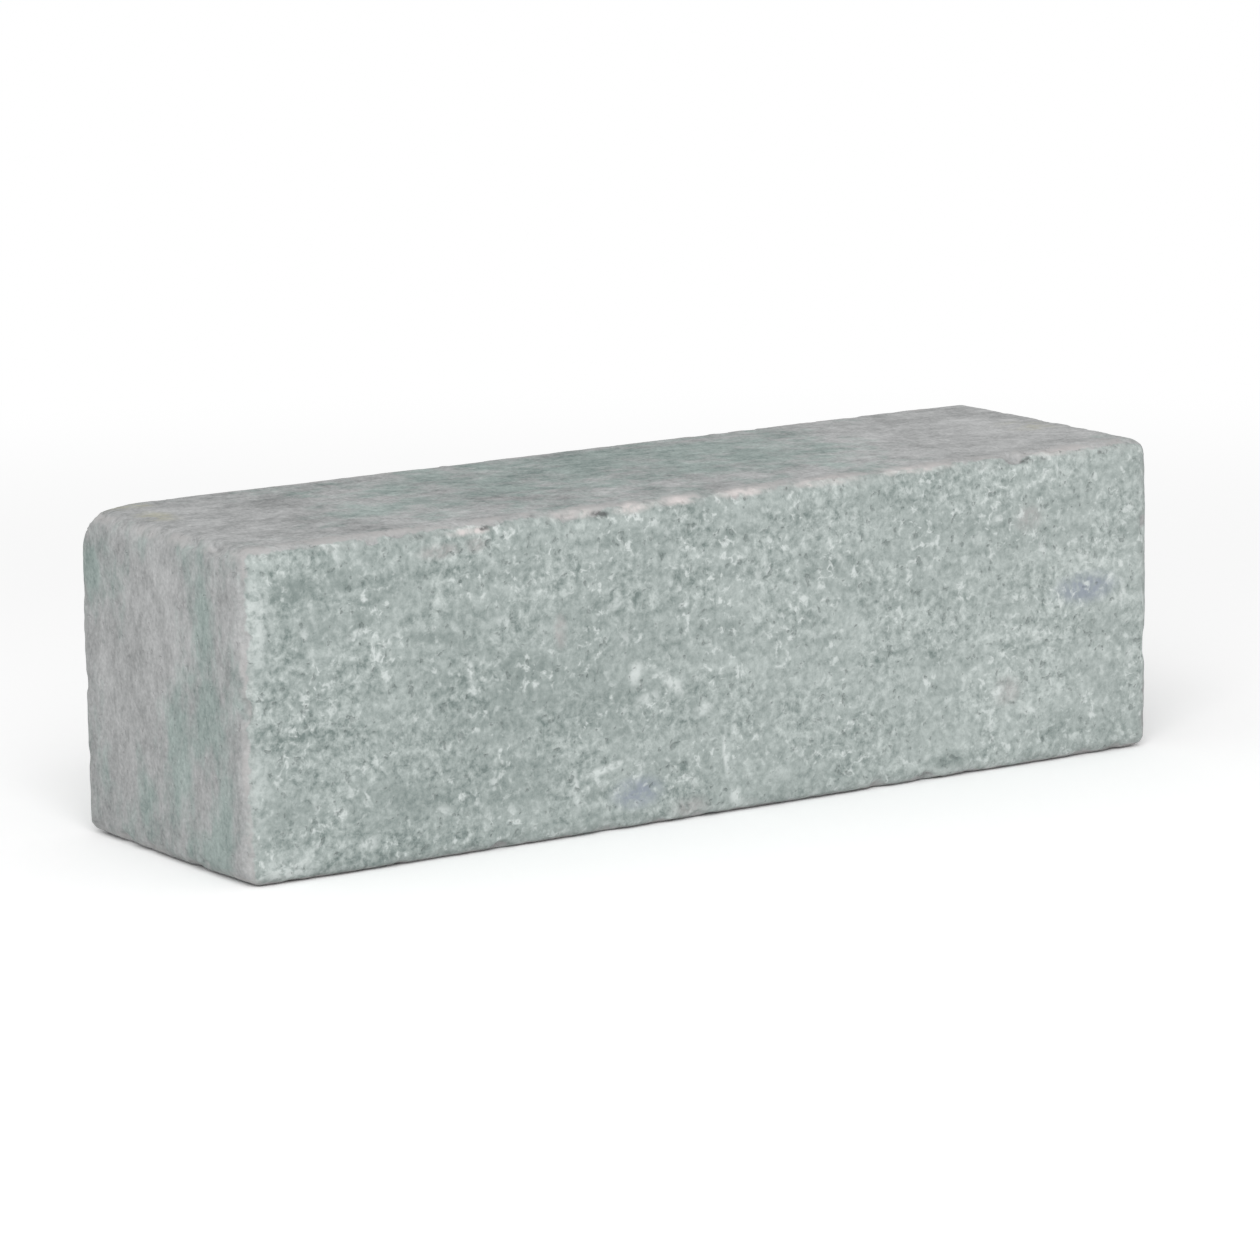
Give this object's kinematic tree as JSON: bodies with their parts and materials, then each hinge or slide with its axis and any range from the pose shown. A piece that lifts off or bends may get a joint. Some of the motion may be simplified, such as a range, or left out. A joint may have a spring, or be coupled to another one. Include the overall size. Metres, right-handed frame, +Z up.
{
  "type": "stacking block",
  "caption": "Tumbled concrete block with flat beds and worn, rounded arrises, laid dry in courses to build low walls and raised beds.",
  "frame": {"origin": "centre of the bottom bed, midway between the ends and between the front and back faces", "axes": "+X along the block's length, -Y out of the fair face, +Z up from the bottom bed"},
  "size_m": [0.5, 0.15, 0.15],
  "materials": {
    "tumbled_concrete": "matte"
  },
  "bodies": {
    "root": {"stacking_block": "tumbled_concrete"}
  },
  "joints": []
}
